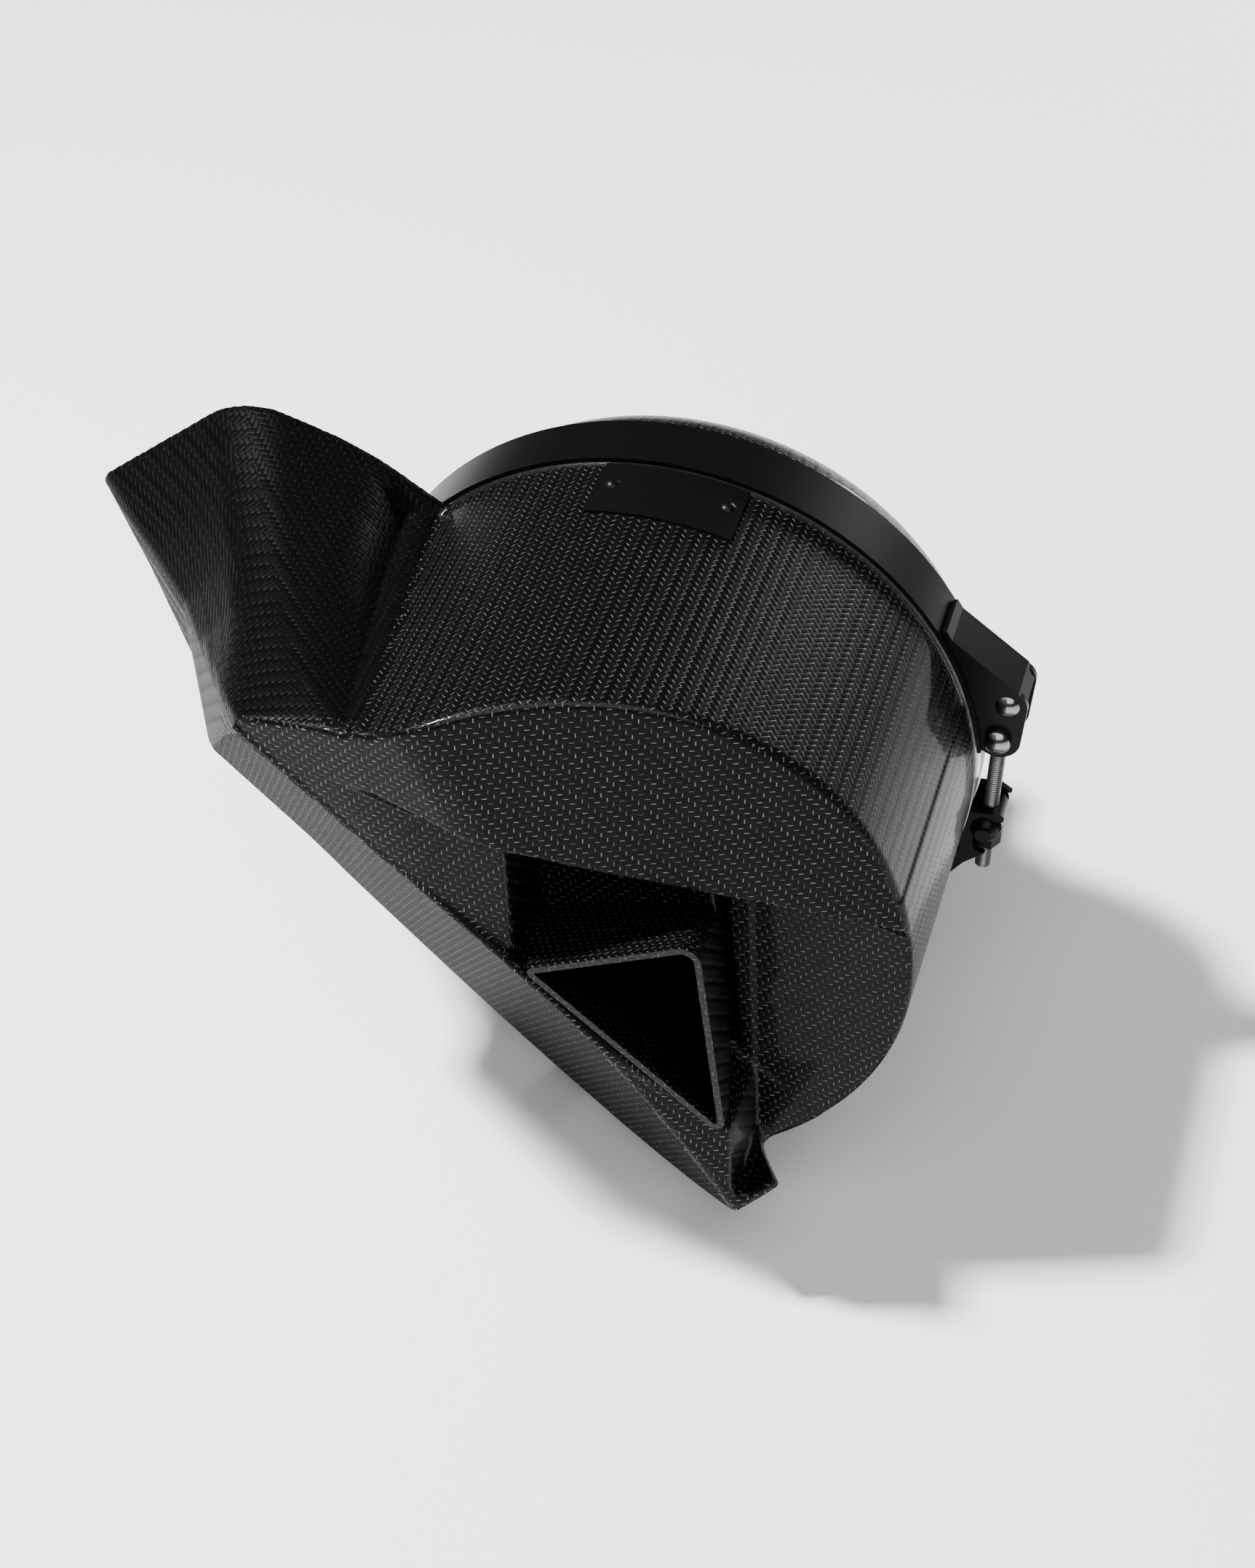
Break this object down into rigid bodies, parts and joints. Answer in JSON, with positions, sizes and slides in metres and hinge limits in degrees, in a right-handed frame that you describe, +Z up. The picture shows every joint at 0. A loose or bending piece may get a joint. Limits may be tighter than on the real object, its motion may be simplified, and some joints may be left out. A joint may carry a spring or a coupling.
{
  "type": "engine intake air filter housing",
  "caption": "Carbon drum airbox with a faceted front, side scoop and three-cornered inlet, band clamp with swing bolt, domed cover, outlet spigot and pleated filter.",
  "frame": {"origin": "centre of the hose length of the outlet spigot, on the drum's axis", "axes": "+Y along the drum's axis out of the outlet, +Z up, +X to the right seen from the faceted front"},
  "size_m": [0.359, 0.2735, 0.2739],
  "materials": {
    "carbon": "clear-coated 2x2 twill carbon fibre",
    "aluminium": "turned",
    "black_steel": "satin black coat",
    "bright_steel": "zinc-plated",
    "badge": "black anodised",
    "rubber": "matt",
    "filter_medium": "oiled cotton"
  },
  "bodies": {
    "housing": {"drum_upper_shell": "carbon", "drum_lower_shell": "carbon", "front_plate": "carbon", "chin_panel": "carbon", "front_cowl": "carbon", "cheek_panel": "carbon", "scoop_top_shell": "carbon", "scoop_under_shell": "carbon", "valley_bead": "carbon", "inlet_duct": "carbon", "drum_rim": "aluminium", "stay_right": "aluminium", "stay_left": "aluminium", "stay_rivets": "aluminium", "clamp_band": "black_steel", "upper_bracket": "black_steel", "lower_bracket": "black_steel", "bracket_rivet": "bright_steel", "badge_rivets": "bright_steel", "stay_sleeve_right": "bright_steel", "stay_sleeve_left": "bright_steel", "badge_plate": "badge", "joint_seal": "rubber", "stay_grommet_right": "rubber", "stay_grommet_left": "rubber"},
    "rear_cover": {"rear_cover": "carbon", "outlet_gasket": "rubber", "outlet_spigot": "aluminium", "outlet_screws": "bright_steel", "outlet_nuts": "bright_steel"},
    "filter": {"filter_pleats": "filter_medium", "filter_inner_mesh": "bright_steel", "filter_end_cap": "rubber", "filter_base": "rubber", "filter_clamp_band": "bright_steel", "filter_clamp_housing": "bright_steel"},
    "worm_screw": {"filter_clamp_screw": "bright_steel"},
    "t_bolt": {"t_bolt": "bright_steel", "pin_caps": "bright_steel"},
    "barrel": {"bolt_barrel": "black_steel"},
    "nut": {"clamp_nut": "black_steel"}
  },
  "joints": [
    {"name": "cover_slide", "type": "slide", "parent": "housing", "child": "rear_cover", "axis": [0, 1, 0], "range_m": [0, 0.12]},
    {"name": "filter_slide", "type": "slide", "parent": "rear_cover", "child": "filter", "axis": [0, -1, 0], "range_m": [0, 0.034]},
    {"name": "worm_screw_turn", "type": "hinge", "parent": "filter", "child": "worm_screw", "pos_m": [0, -0.0345, 0.04695], "axis": [1, 0, 0], "continuous": true},
    {"name": "t_bolt_swing", "type": "hinge", "parent": "housing", "child": "t_bolt", "pos_m": [0.1285, -0.08713, 0.015], "axis": [0, -1, 0], "range_deg": [0, 75]},
    {"name": "nut_travel", "type": "slide", "parent": "t_bolt", "child": "barrel", "axis": [-0.0785, 0, -0.9969], "range_m": [0, 0.008]},
    {"name": "nut_turn", "type": "hinge", "parent": "barrel", "child": "nut", "pos_m": [0.12489, -0.08713, -0.03086], "axis": [-0.0785, 0, -0.9969], "range_deg": [0, 2880]}
  ],
  "couplings": [
    {"joint": "nut_turn", "follows": "nut_travel", "rad_per_m": 6283.2}
  ]
}
